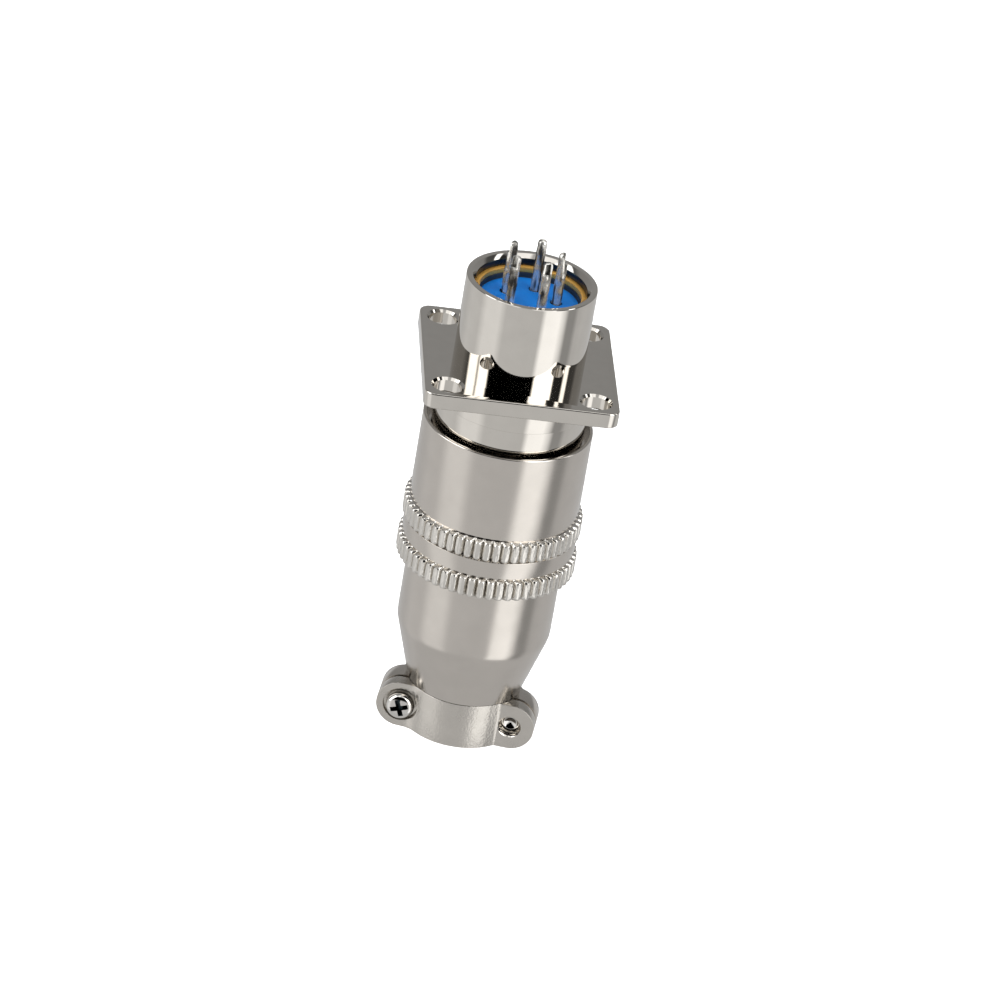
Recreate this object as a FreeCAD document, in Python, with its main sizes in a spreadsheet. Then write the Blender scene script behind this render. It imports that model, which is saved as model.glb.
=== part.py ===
import FreeCAD, Part
import Sketcher
import os
import re

# A five-contact circular connector, mated: a square-flange receptacle with its solder cups
# upwards, and below it the cable plug with a threaded coupling sleeve, a backshell and a
# cable clamp. Z is the connector's axis and z = 0 is the flange's rear face, the one that
# lies against a panel. Lengths are millimetres, angles degrees. A size that ends in _depth
# is a distance below z = 0.

SIZES = {
    # receptacle shell: rear barrel, flange, hub and threaded boss, turned and milled in one
    "barrel_r": 6.0,
    "barrel_top": 8.07,
    "barrel_bore_r": 5.05,
    "barrel_lip": 0.55,
    "barrel_edge": 0.12,
    "flange_side": 17.72,
    "flange_t": 1.5,
    "flange_corner_r": 1.1,
    "flange_edge": 0.1,
    "flange_hole_r": 1.3,
    "flange_hole_inset": 2.135,
    "flange_hole_chamfer": 0.22,
    "hub_r": 7.15,
    "hub_depth": 3.9,
    "boss_r": 7.05,
    "boss_depth": 6.9,
    "boss_thread_core_r": 6.35,
    "boss_edge": 0.3,
    "shell_front_depth": 12.5,
    "web_rear_depth": 6.0,
    "web_front_depth": 7.2,
    "web_bore_r": 4.4,
    "front_bore_r": 5.15,
    "keyway_w": 1.3,
    "keyway_reach": 0.6,
    "key_clearance": 0.1,
    # insulating inserts, moulded round their contacts
    "insert_clearance": 0.05,
    "contact_clearance": 0.03,
    "rear_insert_face": 6.0,
    "rear_insert_rim_h": 0.5,
    "rear_insert_rim_r": 4.6,
    "rear_insert_nose": 0.1,
    "contact_count": 5,
    "contact_circle_r": 2.48,
    "contact_turn": 3.0,
    # receptacle contacts: solder cup, tail, shoulder and mating pin
    "cup_top": 11.15,
    "cup_bore_r": 0.27,
    "cup_bore_depth": 2.3,
    "cup_window": 1.5,
    "tail_r": 0.4,
    "pin_shoulder_r": 0.65,
    "pin_shoulder_rear_depth": 5.3,
    "pin_r": 0.5,
    "pin_engagement": 3.3,
    "pin_nose": 0.3,
    # snap rings
    "ring_clearance": 0.05,
    "ring_gap_angle": 36.0,
    "rear_ring_t": 0.5,
    "rear_ring_r": 5.35,
    "rear_ring_inner_r": 4.65,
    "plug_ring_t": 0.5,
    "plug_ring_r": 4.9,
    "plug_ring_inner_r": 4.1,
    "sleeve_ring_t": 0.6,
    "sleeve_ring_r": 6.6,
    "sleeve_ring_inner_r": 5.2,
    # plug body: keyed nose, collar, shank and rear thread
    "nose_clearance": 0.05,
    "nose_gap": 0.2,
    "nose_edge": 0.2,
    "nose_bore_r": 4.3,
    "nose_bore_l": 1.6,
    "plug_bore_r": 4.6,
    "seat_gap": 0.1,
    "collar_r": 6.85,
    "collar_t": 1.5,
    "shank_r": 5.65,
    "shank_land": 1.1,
    "rear_thread_r": 5.3,
    "rear_thread_clearance": 0.08,
    "rear_thread_l": 4.6,
    # plug insert and socket contacts
    "plug_insert_recess": 0.2,
    "plug_insert_reach": 2.4,
    "socket_clearance": 0.05,
    "socket_r": 0.85,
    "socket_recess": 0.3,
    "socket_bore_spare": 1.0,
    "socket_cover": 1.5,
    "socket_tail_r": 0.55,
    "socket_tail_l": 5.1,
    "socket_cup_r": 0.35,
    "socket_cup_depth": 1.8,
    # coupling sleeve
    "sleeve_r": 7.85,
    "sleeve_mouth_depth": 6.26,
    "sleeve_edge": 0.12,
    "mouth_bore_r": 7.5,
    "mouth_bore_end_depth": 7.3,
    "sleeve_thread_bore_r": 6.98,
    "sleeve_thread_land": 0.1,
    "collar_clearance": 0.25,
    "sleeve_play": 0.1,
    "shoulder_t": 1.4,
    "shoulder_clearance": 0.08,
    "skirt_bore_r": 7.5,
    "upper_knurl_depth": 14.83,
    "upper_knurl_end_depth": 16.85,
    "lower_knurl_depth": 18.72,
    "sleeve_rear_depth": 20.78,
    "band_r": 8.05,
    "knurl_root_r": 7.95,
    "upper_knurl_r": 8.3,
    "lower_knurl_r": 8.35,
    "knurl_count": 58,
    "knurl_root_w": 0.78,
    "knurl_crown_w": 0.34,
    "knurl_flank": 0.12,
    # backshell with the fixed half of the cable clamp
    "backshell_r": 7.2,
    "backshell_edge": 0.25,
    "cone_depth": 27.6,
    "clamp_r": 5.4,
    "cable_r": 3.2,
    "clamp_base_depth": 38.3,
    "clamp_turn": 11.0,
    "clamp_split_y": 2.15,
    "clamp_gap": 0.3,
    "ear_r": 2.3,
    "ear_x": 5.2,
    "ear_face_y": 3.6,
    "ear_back_y": 0.0,
    "ear_recess_r": 1.65,
    "ear_recess_t": 0.5,
    "spot_face_r": 1.5,
    "tapped_hole_chamfer": 0.15,
    # clamp screws, pan head with a cross recess
    "screw_r": 0.95,
    "screw_clearance": 0.15,
    "screw_thread_clearance": 0.03,
    "screw_l": 2.4,
    "screw_head_r": 1.35,
    "screw_head_t": 1.3,
    "screw_head_dome": 0.4,
    "cross_w": 0.36,
    "cross_l": 1.5,
    "cross_t": 0.7,
}

# Stations that several pieces share. The plug's nose stops short of the receptacle's web and
# carries the insert and its sockets; the collar seats against the receptacle's front; the
# sleeve's shoulder turns between collar and snap ring; the clamp is as high as its ears.
COLLAR_DEPTH = "(shell_front_depth + seat_gap)"
SLEEVE_RING_DEPTH = f"({COLLAR_DEPTH} + collar_t + shoulder_t + 2 * sleeve_play)"
SHANK_REAR_DEPTH = f"({SLEEVE_RING_DEPTH} + sleeve_ring_t + shank_land)"
NOSE_DEPTH = "(web_front_depth + nose_gap)"
NOSE_BORE_REAR_DEPTH = f"({NOSE_DEPTH} + nose_bore_l)"
PLUG_INSERT_DEPTH = f"({NOSE_DEPTH} + plug_insert_recess)"
PLUG_INSERT_REAR_DEPTH = f"({COLLAR_DEPTH} + plug_insert_reach)"
SOCKET_DEPTH = f"({PLUG_INSERT_DEPTH} + socket_recess)"
SOCKET_REAR_DEPTH = f"({PLUG_INSERT_REAR_DEPTH} - socket_cover)"
SOCKET_TIP_DEPTH = f"({SOCKET_REAR_DEPTH} + socket_tail_l)"
CONE_END_DEPTH = "(clamp_base_depth - 2 * ear_r)"
EAR_Z = "ear_r - clamp_base_depth"

doc = FreeCAD.newDocument("circular_connector")
sheet = doc.addObject("Spreadsheet::Sheet", "Sizes")
for row, (alias, value) in enumerate(SIZES.items(), start=1):
    sheet.set(f"A{row}", alias)
    sheet.set(f"B{row}", str(value))
    sheet.setAlias(f"B{row}", alias)
doc.recompute()


def sized(text):
    """The expression with every size name pointing at its cell."""
    return re.sub(r"[a-z]\w+", lambda word: f"Sizes.{word[0]}" if word[0] in SIZES else word[0], text)


def bind(feature, **expressions):
    """Ties properties of a feature to the sheet; a double underscore stands for a dot."""
    for name, text in expressions.items():
        feature.setExpression(name.replace("__", "."), sized(text))


def new_body(name, turn=None):
    body = doc.addObject("PartDesign::Body", name)
    if turn:
        bind(body, Placement__Rotation__Angle=turn)
    return body


def new_sketch(body, name, role, lift=None):
    """An empty sketch on one of the body's own origin planes, lifted along its normal."""
    sketch = body.newObject("Sketcher::SketchObject", name)
    plane = next(f for f in body.Origin.OriginFeatures if f.Role == role)
    sketch.AttachmentSupport = (plane, [""])
    sketch.MapMode = "FlatFace"
    if lift:
        bind(sketch, AttachmentOffset__Base__z=lift)
    return sketch


def hold(sketch, geometry, corner, place):
    """Dimensions one point of the sketch from its origin."""
    for kind, text in zip(("DistanceX", "DistanceY"), place):
        now = float(sketch.evalExpression(sized(text)))
        index = sketch.addConstraint(Sketcher.Constraint(kind, -1, 1, geometry, corner, now))
        bind(sketch, **{f"Constraints[{index}]": text})


def point(sketch, place):
    across, along = (float(sketch.evalExpression(sized(text))) for text in place)
    return FreeCAD.Vector(across, along, 0)


def outline(body, name, role, places, lift=None, axis=None):
    """A closed outline through the places; axis adds a line to turn it about."""
    sketch = new_sketch(body, name, role, lift)
    corners = [point(sketch, place) for place in places]
    for start, end in zip(corners, corners[1:] + corners[:1]):
        sketch.addGeometry(Part.LineSegment(start, end), False)
    for index, place in enumerate(places):
        following = (index + 1) % len(places)
        sketch.addConstraint(Sketcher.Constraint("Coincident", index, 2, following, 1))
        hold(sketch, index, 1, place)
    if axis:
        line = Part.LineSegment(point(sketch, (axis, "0")), point(sketch, (axis, "1")))
        index = sketch.addGeometry(line, True)
        hold(sketch, index, 1, (axis, "0"))
        hold(sketch, index, 2, (axis, "1"))
    return sketch


def circle(body, name, role, centre, radius, lift=None):
    sketch = new_sketch(body, name, role, lift)
    at = point(sketch, centre)
    now = float(sketch.evalExpression(sized(radius)))
    sketch.addGeometry(Part.Circle(at, FreeCAD.Vector(0, 0, 1), now), False)
    hold(sketch, 0, 3, centre)
    index = sketch.addConstraint(Sketcher.Constraint("Radius", 0, now))
    bind(sketch, **{f"Constraints[{index}]": radius})
    return sketch


def feature(body, kind, name, sketch=None):
    made = body.newObject(f"PartDesign::{kind}", name)
    if sketch:
        made.Profile = sketch
    return made


def turned(body, name, places, angle="360"):
    """Material turned about Z, from an outline of radius and height."""
    made = feature(body, "Revolution", name, outline(body, f"{name}_outline", "XZ_Plane", places))
    made.ReferenceAxis = (made.Profile[0], ["V_Axis"])
    bind(made, Angle=angle)
    return made


def bored(body, name, places, axis=None):
    """Material turned away about Z, or about the upright line at the given radius."""
    sketch = outline(body, f"{name}_outline", "XZ_Plane", places, axis=axis)
    made = feature(body, "Groove", name, sketch)
    made.ReferenceAxis = (sketch, ["Axis0" if axis else "V_Axis"])
    made.Angle = 360
    return made


def padded(body, name, sketch, length):
    made = feature(body, "Pad", name, sketch)
    bind(made, Length=length)
    return made


def repeated(body, name, original, axis, count):
    """Copies of a feature round the sketch axis, which become the body's end state."""
    pattern = feature(body, "PolarPattern", name)
    pattern.Originals = [original]
    pattern.Axis = axis
    pattern.Angle = 360
    bind(pattern, Occurrences=count)
    body.Tip = pattern
    return pattern


def edges_where(solid, chosen):
    return [f"Edge{i}" for i, edge in enumerate(solid.Shape.Edges, start=1) if chosen(edge)]


def dressed(body, kind, name, base, chosen, size):
    """A fillet or chamfer on the edges of the base that pass the test."""
    doc.recompute()
    made = feature(body, kind, name)
    made.Base = (base, edges_where(base, chosen))
    bind(made, **{"Radius" if kind == "Fillet" else "Size": size})
    return made


def snap_ring(name, inner, outer, bottom, top):
    """A wire ring left open by the gap angle, so that it can be sprung into its groove."""
    body = new_body(name, "-90 + ring_gap_angle / 2")
    places = [(inner, bottom), (outer, bottom), (outer, top), (inner, top)]
    turned(body, f"{name}_wire", places, "360 - ring_gap_angle")
    return body


def receptacle_shell():
    body = new_body("receptacle_shell")
    half = "flange_side / 2"
    square = [(f"-{half}", f"-{half}"), (half, f"-{half}"), (half, half), (f"-{half}", half)]
    plate = padded(body, "flange", outline(body, "flange_square", "XY_Plane", square, "-flange_t"), "flange_t")
    corners = dressed(body, "Fillet", "flange_corners", plate,
                      lambda edge: abs(edge.tangentAt(edge.FirstParameter).z) > 0.99, "flange_corner_r")
    dressed(body, "Chamfer", "flange_edges", corners,
            lambda edge: abs(edge.tangentAt(edge.FirstParameter).z) < 0.01, "flange_edge")
    turned(body, "turned_outside", [
        ("0", "-shell_front_depth"),
        ("boss_thread_core_r - boss_edge", "-shell_front_depth"),
        ("boss_thread_core_r", "boss_edge - shell_front_depth"),
        ("boss_thread_core_r", "-boss_depth"),
        ("boss_r - boss_edge", "-boss_depth"),
        ("boss_r", "boss_edge - boss_depth"),
        ("boss_r", "-hub_depth"),
        ("hub_r", "-hub_depth"),
        ("hub_r", "-flange_t / 2"),
        ("barrel_r", "-flange_t / 2"),
        ("barrel_r", "barrel_top - barrel_edge"),
        ("barrel_r - barrel_edge", "barrel_top"),
        ("0", "barrel_top"),
    ])
    rim = "rear_insert_face + rear_insert_rim_h"
    bored(body, "turned_inside", [
        ("0", "-shell_front_depth - 1"),
        ("front_bore_r", "-shell_front_depth - 1"),
        ("front_bore_r", "-web_front_depth"),
        ("web_bore_r", "-web_front_depth"),
        ("web_bore_r", "-web_rear_depth"),
        ("barrel_bore_r", "-web_rear_depth"),
        ("barrel_bore_r", f"{rim} - ring_clearance"),
        ("rear_ring_r + ring_clearance", f"{rim} - ring_clearance"),
        ("rear_ring_r + ring_clearance", f"{rim} + rear_ring_t + ring_clearance"),
        ("barrel_bore_r", f"{rim} + rear_ring_t + ring_clearance"),
        ("barrel_bore_r", "barrel_top - barrel_lip"),
        ("barrel_bore_r + barrel_lip", "barrel_top"),
        ("barrel_bore_r + barrel_lip", "barrel_top + 1"),
        ("0", "barrel_top + 1"),
    ])
    keyway = [
        ("-keyway_w / 2", "web_bore_r"),
        ("keyway_w / 2", "web_bore_r"),
        ("keyway_w / 2", "front_bore_r + keyway_reach"),
        ("-keyway_w / 2", "front_bore_r + keyway_reach"),
    ]
    slot = feature(body, "Pocket", "keyway",
                   outline(body, "keyway_outline", "XY_Plane", keyway, "-shell_front_depth"))
    slot.Reversed = True
    bind(slot, Length="shell_front_depth - web_front_depth")
    half_pitch = "(flange_side / 2 - flange_hole_inset)"
    round_hole = circle(body, "flange_hole_outline", "XY_Plane", (half_pitch, half_pitch), "flange_hole_r")
    hole = feature(body, "Pocket", "flange_hole", round_hole)
    bind(hole, Length="flange_t")
    holes = repeated(body, "flange_holes", hole, (round_hole, ["N_Axis"]), "4")
    dressed(body, "Chamfer", "flange_hole_edges", holes,
            lambda edge: edge.Curve.TypeId == "Part::GeomCircle"
            and abs(edge.Curve.Radius - sheet.flange_hole_r) < 0.001
            and edge.Curve.Center.Length > sheet.barrel_r, "flange_hole_chamfer")
    return body


def receptacle_insert():
    body = new_body("receptacle_insert", "contact_turn")
    turned(body, "moulding", [
        ("0", "-web_front_depth - rear_insert_nose"),
        ("web_bore_r - insert_clearance", "-web_front_depth - rear_insert_nose"),
        ("web_bore_r - insert_clearance", "-web_rear_depth"),
        ("barrel_bore_r - insert_clearance", "-web_rear_depth"),
        ("barrel_bore_r - insert_clearance", "rear_insert_face + rear_insert_rim_h"),
        ("rear_insert_rim_r", "rear_insert_face + rear_insert_rim_h"),
        ("rear_insert_rim_r", "rear_insert_face"),
        ("0", "rear_insert_face"),
    ])
    hole = bored(body, "contact_hole", [
        ("contact_circle_r", "-web_front_depth - 1"),
        ("contact_circle_r + pin_shoulder_r + contact_clearance", "-web_front_depth - 1"),
        ("contact_circle_r + pin_shoulder_r + contact_clearance", "-pin_shoulder_rear_depth"),
        ("contact_circle_r + tail_r + contact_clearance", "-pin_shoulder_rear_depth"),
        ("contact_circle_r + tail_r + contact_clearance", "rear_insert_face + 1"),
        ("contact_circle_r", "rear_insert_face + 1"),
    ], axis="contact_circle_r")
    repeated(body, "contact_holes", hole, (hole.Profile[0], ["V_Axis"]), "contact_count")
    return body


def placed_contact(name, number):
    """A body on the contact circle, turned so that its local +X points outwards."""
    angle = f"contact_turn + {number} * 360 / contact_count"
    body = new_body(name, angle)
    bind(body, Placement__Base__x=f"contact_circle_r * cos({angle})",
         Placement__Base__y=f"contact_circle_r * sin({angle})")
    return body


def receptacle_pin(number):
    body = placed_contact(f"receptacle_pin_{number + 1}", number)
    turned(body, "pin", [
        ("0", f"-{SOCKET_DEPTH} - pin_engagement"),
        ("pin_r - pin_nose", f"-{SOCKET_DEPTH} - pin_engagement"),
        ("pin_r", f"pin_nose - {SOCKET_DEPTH} - pin_engagement"),
        ("pin_r", "-web_front_depth"),
        ("pin_shoulder_r", "-web_front_depth"),
        ("pin_shoulder_r", "-pin_shoulder_rear_depth"),
        ("tail_r", "-pin_shoulder_rear_depth"),
        ("tail_r", "cup_top"),
        ("cup_bore_r", "cup_top"),
        ("cup_bore_r", "cup_top - cup_bore_depth"),
        ("0", "cup_top - cup_bore_depth - cup_bore_r"),
    ])
    cut_cup(body, "cup_top - cup_window", "cup_top + 1", "cup_window")
    return body


def cut_cup(body, bottom, top, window):
    """Opens the outward side of a solder cup, with a slope at the foot of the window."""
    window_outline = outline(body, "cup_window_outline", "XZ_Plane", [
        ("tail_r / 4", f"{bottom} + {window} / 4"),
        ("tail_r * 3", bottom),
        ("tail_r * 3", top),
        ("tail_r / 4", top),
    ])
    made = feature(body, "Pocket", "cup_opening", window_outline)
    made.Midplane = True
    bind(made, Length="tail_r * 4")


def plug_body():
    body = new_body("plug_body")
    nose = "(front_bore_r - nose_clearance)"
    collar = COLLAR_DEPTH
    groove = SLEEVE_RING_DEPTH
    insert_rear = PLUG_INSERT_REAR_DEPTH
    turned(body, "turned_outside", [
        ("nose_bore_r", f"-{NOSE_DEPTH}"),
        (f"{nose} - nose_edge", f"-{NOSE_DEPTH}"),
        (nose, f"-{NOSE_DEPTH} - nose_edge"),
        (nose, f"-{collar}"),
        ("collar_r", f"-{collar}"),
        ("collar_r", f"-{collar} - collar_t"),
        ("shank_r", f"-{collar} - collar_t"),
        ("shank_r", f"ring_clearance - {groove}"),
        ("sleeve_ring_inner_r - ring_clearance", f"ring_clearance - {groove}"),
        ("sleeve_ring_inner_r - ring_clearance", f"-{groove} - sleeve_ring_t"),
        ("shank_r", f"-{groove} - sleeve_ring_t"),
        ("shank_r", f"-{SHANK_REAR_DEPTH}"),
        ("rear_thread_r", f"-{SHANK_REAR_DEPTH}"),
        ("rear_thread_r", f"nose_edge - {SHANK_REAR_DEPTH} - rear_thread_l"),
        ("rear_thread_r - nose_edge", f"-{SHANK_REAR_DEPTH} - rear_thread_l"),
        ("plug_bore_r", f"-{SHANK_REAR_DEPTH} - rear_thread_l"),
        ("plug_bore_r", f"-{insert_rear} - plug_ring_t - ring_clearance"),
        ("plug_ring_r + ring_clearance", f"-{insert_rear} - plug_ring_t - ring_clearance"),
        ("plug_ring_r + ring_clearance", f"ring_clearance - {insert_rear}"),
        ("plug_bore_r", f"ring_clearance - {insert_rear}"),
        ("plug_bore_r", f"-{NOSE_BORE_REAR_DEPTH}"),
        ("nose_bore_r", f"-{NOSE_BORE_REAR_DEPTH}"),
    ])
    key = [
        ("key_clearance - keyway_w / 2", "(nose_bore_r + front_bore_r) / 2"),
        ("keyway_w / 2 - key_clearance", "(nose_bore_r + front_bore_r) / 2"),
        ("keyway_w / 2 - key_clearance", "front_bore_r + keyway_reach - key_clearance"),
        ("key_clearance - keyway_w / 2", "front_bore_r + keyway_reach - key_clearance"),
    ]
    padded(body, "key", outline(body, "key_outline", "XY_Plane", key, f"-{collar}"),
           f"{collar} - {NOSE_DEPTH} - nose_edge")
    return body


def plug_insert():
    body = new_body("plug_insert", "contact_turn")
    turned(body, "moulding", [
        ("0", f"-{PLUG_INSERT_REAR_DEPTH}"),
        ("plug_bore_r - insert_clearance", f"-{PLUG_INSERT_REAR_DEPTH}"),
        ("plug_bore_r - insert_clearance", f"-{NOSE_BORE_REAR_DEPTH}"),
        ("nose_bore_r - insert_clearance", f"-{NOSE_BORE_REAR_DEPTH}"),
        ("nose_bore_r - insert_clearance", f"-{PLUG_INSERT_DEPTH}"),
        ("0", f"-{PLUG_INSERT_DEPTH}"),
    ])
    hole = bored(body, "contact_hole", [
        ("contact_circle_r", f"-{PLUG_INSERT_REAR_DEPTH} - 1"),
        ("contact_circle_r + socket_tail_r + contact_clearance", f"-{PLUG_INSERT_REAR_DEPTH} - 1"),
        ("contact_circle_r + socket_tail_r + contact_clearance", f"-{SOCKET_REAR_DEPTH}"),
        ("contact_circle_r + socket_r + contact_clearance", f"-{SOCKET_REAR_DEPTH}"),
        ("contact_circle_r + socket_r + contact_clearance", f"-{SOCKET_DEPTH}"),
        ("contact_circle_r + pin_r + socket_clearance", f"-{SOCKET_DEPTH}"),
        ("contact_circle_r + pin_r + socket_clearance", f"1 - {PLUG_INSERT_DEPTH}"),
        ("contact_circle_r", f"1 - {PLUG_INSERT_DEPTH}"),
    ], axis="contact_circle_r")
    repeated(body, "contact_holes", hole, (hole.Profile[0], ["V_Axis"]), "contact_count")
    return body


def plug_socket(number):
    body = placed_contact(f"plug_socket_{number + 1}", number)
    turned(body, "socket", [
        ("pin_r + socket_clearance", f"-{SOCKET_DEPTH}"),
        ("socket_r", f"-{SOCKET_DEPTH}"),
        ("socket_r", f"-{SOCKET_REAR_DEPTH}"),
        ("socket_tail_r", f"-{SOCKET_REAR_DEPTH}"),
        ("socket_tail_r", f"-{SOCKET_TIP_DEPTH}"),
        ("socket_cup_r", f"-{SOCKET_TIP_DEPTH}"),
        ("socket_cup_r", f"socket_cup_depth - {SOCKET_TIP_DEPTH}"),
        ("0", f"socket_cup_depth + socket_cup_r - {SOCKET_TIP_DEPTH}"),
        ("0", f"-{SOCKET_DEPTH} - pin_engagement - socket_bore_spare"),
        ("pin_r + socket_clearance", f"-{SOCKET_DEPTH} - pin_engagement - socket_bore_spare"),
    ])
    cut_cup(body, f"-{SOCKET_TIP_DEPTH} - 1", f"socket_cup_depth - {SOCKET_TIP_DEPTH}", "0")
    return body


def coupling_sleeve():
    body = new_body("coupling_sleeve")
    collar_end = f"({COLLAR_DEPTH} + collar_t + sleeve_play)"
    turned(body, "turned_wall", [
        ("mouth_bore_r", "-sleeve_mouth_depth"),
        ("sleeve_r - sleeve_edge", "-sleeve_mouth_depth"),
        ("sleeve_r", "-sleeve_mouth_depth - sleeve_edge"),
        ("sleeve_r", "-upper_knurl_depth"),
        ("knurl_root_r", "-upper_knurl_depth"),
        ("knurl_root_r", "-upper_knurl_end_depth"),
        ("band_r", "-upper_knurl_end_depth"),
        ("band_r", "-lower_knurl_depth"),
        ("knurl_root_r", "-lower_knurl_depth"),
        ("knurl_root_r", "-sleeve_rear_depth"),
        ("skirt_bore_r", "-sleeve_rear_depth"),
        ("skirt_bore_r", f"-{collar_end} - shoulder_t"),
        ("shank_r + shoulder_clearance", f"-{collar_end} - shoulder_t"),
        ("shank_r + shoulder_clearance", f"-{collar_end}"),
        ("collar_r + collar_clearance", f"-{collar_end}"),
        ("collar_r + collar_clearance", "sleeve_thread_land - shell_front_depth"),
        ("sleeve_thread_bore_r", "sleeve_thread_land - shell_front_depth"),
        ("sleeve_thread_bore_r", "-mouth_bore_end_depth"),
        ("mouth_bore_r", "-mouth_bore_end_depth"),
    ])
    knurl(body, "upper_knurl", "upper_knurl_r", "upper_knurl_end_depth", "upper_knurl_depth")
    knurl(body, "lower_knurl", "lower_knurl_r", "sleeve_rear_depth", "lower_knurl_depth")
    return body


def knurl(body, name, crown_r, bottom, top):
    """Straight flutes: one crowned rib, padded along the band and repeated round it."""
    rib = outline(body, f"{name}_rib_outline", "XY_Plane", [
        ("skirt_bore_r + knurl_flank", "-knurl_root_w / 2"),
        ("knurl_root_r", "-knurl_root_w / 2"),
        (f"{crown_r} - knurl_flank", "-knurl_crown_w / 2 - knurl_flank / 2"),
        (crown_r, "-knurl_crown_w / 4"),
        (crown_r, "knurl_crown_w / 4"),
        (f"{crown_r} - knurl_flank", "knurl_crown_w / 2 + knurl_flank / 2"),
        ("knurl_root_r", "knurl_root_w / 2"),
        ("skirt_bore_r + knurl_flank", "knurl_root_w / 2"),
    ], f"-{bottom}")
    repeated(body, name, padded(body, f"{name}_rib", rib, f"{bottom} - {top}"),
             (rib, ["N_Axis"]), "knurl_count")


def cylinder(name, radius, length, x="0", y="0", z="0", forward=False):
    """A cylinder up along Z, or forwards along -Y."""
    made = doc.addObject("Part::Cylinder", name)
    if forward:
        made.Placement = FreeCAD.Placement(FreeCAD.Vector(), FreeCAD.Rotation(FreeCAD.Vector(1, 0, 0), 90))
    bind(made, Radius=radius, Height=length, Placement__Base__x=x, Placement__Base__y=y,
         Placement__Base__z=z)
    return made


def block(name, low, high):
    made = doc.addObject("Part::Box", name)
    bind(made, Length=f"{high[0]} - ({low[0]})", Width=f"{high[1]} - ({low[1]})",
         Height=f"{high[2]} - ({low[2]})", Placement__Base__x=low[0], Placement__Base__y=low[1],
         Placement__Base__z=low[2])
    return made


def joined(name, shapes):
    made = doc.addObject("Part::MultiFuse", name)
    made.Shapes = shapes
    made.Refine = True
    return made


def cut(name, base, tool):
    made = doc.addObject("Part::Cut", name)
    made.Base = base
    made.Tool = tool
    made.Refine = True
    return made


def clamp_half(name, front):
    """One half of the clamp, uncut: its share of the ring, a bridge and two ears."""
    if front:
        ring_y = ("-clamp_r", "-clamp_split_y - clamp_gap / 2")
        ear_y = ("-ear_face_y", "-clamp_split_y - clamp_gap / 2")
    else:
        ring_y = ("clamp_gap / 2 - clamp_split_y", "clamp_r")
        ear_y = ("clamp_gap / 2 - clamp_split_y", "-ear_back_y")
    ring = cylinder(f"{name}_ring", "clamp_r", "2 * ear_r", z="-clamp_base_depth")
    side = block(f"{name}_side", ("-clamp_r", ring_y[0], "-clamp_base_depth"),
                 ("clamp_r", ring_y[1], f"-{CONE_END_DEPTH}"))
    ring_share = doc.addObject("Part::Common", f"{name}_ring_share")
    ring_share.Base = ring
    ring_share.Tool = side
    bridge = block(f"{name}_bridge", ("-ear_x", ear_y[0], "-clamp_base_depth"),
                   ("ear_x", ear_y[1], f"-{CONE_END_DEPTH}"))
    ears = [cylinder(f"{name}_{side_name}_ear", "ear_r", f"{ear_y[1]} - ({ear_y[0]})", x=x, y=ear_y[1],
                     z=EAR_Z, forward=True) for side_name, x in (("left", "-ear_x"), ("right", "ear_x"))]
    return joined(f"{name}_blank", [ring_share, bridge] + ears)


def clamp_holes(name, front):
    """Cutters for the cable and the screws: one screw enters here, the other ends here."""
    head_x, tap_x = ("-ear_x", "ear_x") if front else ("ear_x", "-ear_x")
    through = {"y": "clamp_r", "z": EAR_Z, "forward": True}
    cutters = [
        cylinder(f"{name}_cable", "cable_r", "clamp_base_depth", z="-clamp_base_depth - 1"),
        cylinder(f"{name}_clear", "screw_r + screw_clearance", "2 * clamp_r", x=head_x, **through),
        cylinder(f"{name}_tapped", "screw_r + screw_thread_clearance", "2 * clamp_r", x=tap_x, **through),
    ]
    if front:
        cutters.append(cylinder(f"{name}_recess", "ear_recess_r", "ear_recess_t + 1", x=head_x,
                                y="ear_recess_t - ear_face_y", z=EAR_Z, forward=True))
        mouth = doc.addObject("Part::Cone", f"{name}_tapped_mouth")
        mouth.Placement = FreeCAD.Placement(FreeCAD.Vector(), FreeCAD.Rotation(FreeCAD.Vector(1, 0, 0), 90))
        bind(mouth, Radius1="screw_r", Radius2="screw_r + tapped_hole_chamfer", Height="tapped_hole_chamfer",
             Placement__Base__x=tap_x, Placement__Base__y="tapped_hole_chamfer - ear_face_y",
             Placement__Base__z=EAR_Z)
        cutters.append(mouth)
    else:
        cutters.append(cylinder(f"{name}_spot_face", "spot_face_r", "clamp_r + ear_back_y + ear_recess_t",
                                x=head_x, y="clamp_r", z=EAR_Z, forward=True))
    return joined(f"{name}_holes", cutters)


def turn_with_clamp(part):
    """The backshell is screwed home with its clamp a little off the flange's square."""
    bind(part, Placement__Rotation__Angle="-clamp_turn")
    return part


def clamp_saddle():
    return turn_with_clamp(cut("clamp_saddle", clamp_half("saddle", True), clamp_holes("saddle", True)))


def backshell():
    body = new_body("backshell_tube")
    front = SHANK_REAR_DEPTH
    thread_bore = "(rear_thread_r + rear_thread_clearance)"
    turned(body, "tube", [
        (thread_bore, f"-{front}"),
        ("backshell_r - backshell_edge", f"-{front}"),
        ("backshell_r", f"-{front} - backshell_edge"),
        ("backshell_r", "-cone_depth"),
        ("clamp_r", f"-{CONE_END_DEPTH}"),
        ("cable_r", f"-{CONE_END_DEPTH}"),
        (thread_bore, "-cone_depth"),
    ])
    blank = joined("backshell_blank", [body, clamp_half("fixed_half", False)])
    return turn_with_clamp(cut("backshell", blank, clamp_holes("fixed_half", False)))


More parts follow.
